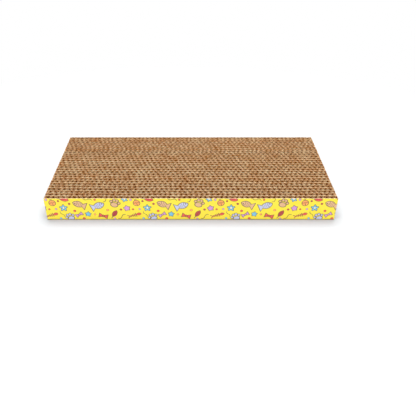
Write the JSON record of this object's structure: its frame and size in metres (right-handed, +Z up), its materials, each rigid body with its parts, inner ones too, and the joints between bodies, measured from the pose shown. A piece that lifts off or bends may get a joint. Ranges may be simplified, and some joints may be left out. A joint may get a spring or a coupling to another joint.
{
  "type": "cardboard cat scratcher",
  "caption": "Flat rectangular cat scratching pad of corrugated cardboard strips glued on edge, with the open flutes facing up and a band of printed paper round its sides.",
  "frame": {"origin": "middle of the underside, on the plane that the pad rests on", "axes": "+X along the strips (the pad's length), +Y from the front of the pad to its back, +Z up"},
  "size_m": [0.435, 0.1902, 0.04],
  "materials": {
    "kraft_board": "raw brown kraft paper",
    "white_glue": "dried white glue",
    "printed_paper": "printed yellow paper"
  },
  "bodies": {
    "root": {"board_strip_01": "kraft_board", "board_strip_02": "kraft_board", "board_strip_03": "kraft_board", "board_strip_04": "kraft_board", "board_strip_05": "kraft_board", "board_strip_06": "kraft_board", "board_strip_07": "kraft_board", "board_strip_08": "kraft_board", "board_strip_09": "kraft_board", "board_strip_10": "kraft_board", "board_strip_11": "kraft_board", "board_strip_12": "kraft_board", "board_strip_13": "kraft_board", "board_strip_14": "kraft_board", "board_strip_15": "kraft_board", "board_strip_16": "kraft_board", "board_strip_17": "kraft_board", "board_strip_18": "kraft_board", "board_strip_19": "kraft_board", "board_strip_20": "kraft_board", "board_strip_21": "kraft_board", "board_strip_22": "kraft_board", "board_strip_23": "kraft_board", "board_strip_24": "kraft_board", "board_strip_25": "kraft_board", "board_strip_26": "kraft_board", "board_strip_27": "kraft_board", "glue_beads": "white_glue", "printed_wrap": "printed_paper"}
  },
  "joints": []
}
